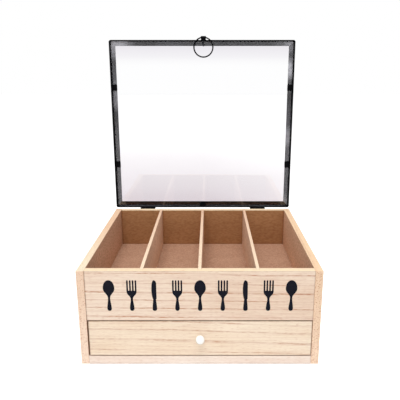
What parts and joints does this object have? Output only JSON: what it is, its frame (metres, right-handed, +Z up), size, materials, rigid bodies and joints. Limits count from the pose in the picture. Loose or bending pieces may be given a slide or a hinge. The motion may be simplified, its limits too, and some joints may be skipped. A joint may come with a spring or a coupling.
{
  "type": "utensil caddy with drawer",
  "caption": "Pale wooden cutlery box with open lengthwise compartments, a shallow drawer beneath, and a hinged glass lid in a thin black metal frame with a ring pull.",
  "frame": {"origin": "middle of the case's flat underside", "axes": "+X to the right seen from the front, +Y to the back, +Z up; the lid stands open at the back"},
  "size_m": [0.28, 0.2785, 0.3852],
  "materials": {
    "paulownia": "raw, fine sanded, open straight grain",
    "fibreboard": "raw fibreboard, matte",
    "black_metal": "satin black paint",
    "clear_glass": "clear float glass with ground edges",
    "white_knob": "white gloss glaze",
    "steel": "plain bright steel",
    "dark_ink": "matte printed ink, under 0.1 mm thick"
  },
  "bodies": {
    "case": {"left_side": "paulownia", "right_side": "paulownia", "front_fascia": "paulownia", "back_panel": "paulownia", "base_board": "paulownia", "tray_floor": "fibreboard", "left_divider": "fibreboard", "centre_divider": "fibreboard", "right_divider": "fibreboard", "case_nails": "steel", "left_case_leaf": "black_metal", "right_case_leaf": "black_metal", "left_hinge_pin": "steel", "right_hinge_pin": "steel", "hinge_screws": "steel"},
    "drawer": {"drawer_front": "paulownia", "drawer_left_side": "fibreboard", "drawer_right_side": "fibreboard", "drawer_back": "fibreboard", "drawer_bottom": "fibreboard", "drawer_knob": "white_knob", "knob_screw": "steel", "drawer_nails": "steel"},
    "lid": {"lid_left_rail": "black_metal", "lid_right_rail": "black_metal", "lid_front_rail": "black_metal", "lid_rear_rail": "black_metal", "lid_glass": "clear_glass", "left_front_clip": "black_metal", "left_rear_clip": "black_metal", "right_front_clip": "black_metal", "right_rear_clip": "black_metal", "rear_clip": "black_metal", "front_clip": "black_metal", "left_lid_leaf": "black_metal", "right_lid_leaf": "black_metal", "ring_bracket": "black_metal"},
    "ring": {"pull_ring": "black_metal"}
  },
  "joints": [
    {"name": "lid_hinge", "type": "hinge", "parent": "case", "child": "lid", "pos_m": [0, 0.13165, 0.11815], "axis": [1, 0, 0], "range_deg": [0, 90]},
    {"name": "ring_swing", "type": "hinge", "parent": "lid", "child": "ring", "pos_m": [0.002, 0.1304, 0.3832], "axis": [1, 0, 0], "range_deg": [-90, 0]},
    {"name": "drawer_slide", "type": "slide", "parent": "case", "child": "drawer", "axis": [0, -1, 0], "range_m": [0, 0.2]}
  ],
  "couplings": [
    {"joint": "ring_swing", "follows": "lid_hinge", "ratio": -1}
  ]
}
